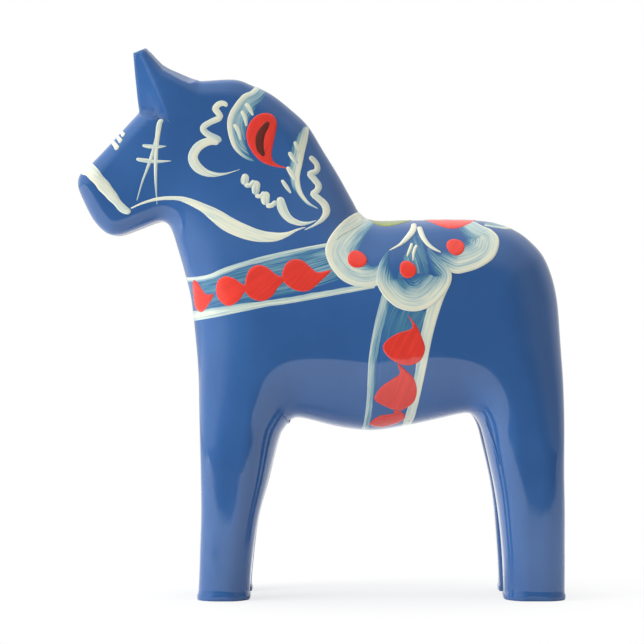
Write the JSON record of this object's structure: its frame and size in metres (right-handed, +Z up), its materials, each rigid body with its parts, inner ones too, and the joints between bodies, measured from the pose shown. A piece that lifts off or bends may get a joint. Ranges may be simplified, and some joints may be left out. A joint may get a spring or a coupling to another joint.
{
  "type": "dala horse",
  "caption": "Standing carved wooden horse with a glossy blue enamel coat and hand-brushed cream, red and green ornament; free-standing folk-craft figure.",
  "frame": {"origin": "on the ground under the middle of the horse, midway between muzzle and rump", "axes": "-X towards the muzzle, -Y towards the horse's left flank, +Z up"},
  "size_m": [0.1149, 0.0402, 0.1296],
  "materials": {
    "pine": "bare sawn end grain at the soles, carved elsewhere",
    "blue_enamel": "high-gloss dipped and varnished enamel",
    "cream_paint": "brushed oil paint under gloss varnish",
    "red_paint": "brushed oil paint under gloss varnish",
    "green_paint": "brushed oil paint under gloss varnish"
  },
  "bodies": {
    "root": {"blue_enamel_coat": "blue_enamel", "breast_band": "cream_paint", "breast_dabs": "red_paint", "carved_pine_body": "pine", "cheek_strap_left": "cream_paint", "cheek_strap_right": "cream_paint", "girth_band": "cream_paint", "girth_drops_left": "red_paint", "girth_drops_right": "red_paint", "mane_drop_left": "red_paint", "mane_drop_right": "red_paint", "mane_petal_front_left": "cream_paint", "mane_petal_front_right": "cream_paint", "mane_petal_rear_left": "cream_paint", "mane_petal_rear_right": "cream_paint", "mane_scroll_front_left": "cream_paint", "mane_scroll_front_right": "cream_paint", "mane_scroll_lower_left": "cream_paint", "mane_scroll_lower_right": "cream_paint", "mane_scroll_rear_left": "cream_paint", "mane_scroll_rear_right": "cream_paint", "nose_dab_lower_left": "cream_paint", "nose_dab_lower_right": "cream_paint", "nose_dab_middle_left": "cream_paint", "nose_dab_middle_right": "cream_paint", "nose_dab_upper_left": "cream_paint", "nose_dab_upper_right": "cream_paint", "noseband": "cream_paint", "rein_left": "cream_paint", "rein_right": "cream_paint", "saddle_dot_front_left": "red_paint", "saddle_dot_front_right": "red_paint", "saddle_dot_middle_left": "red_paint", "saddle_dot_middle_right": "red_paint", "saddle_dot_rear_left": "red_paint", "saddle_dot_rear_right": "red_paint", "saddle_petal_front_left": "cream_paint", "saddle_petal_front_right": "cream_paint", "saddle_petal_middle_left": "cream_paint", "saddle_petal_middle_right": "cream_paint", "saddle_petal_rear_left": "cream_paint", "saddle_petal_rear_right": "cream_paint", "saddle_spray_left": "cream_paint", "saddle_spray_right": "cream_paint", "spine_leaf": "green_paint", "spine_petal": "red_paint"}
  },
  "joints": []
}
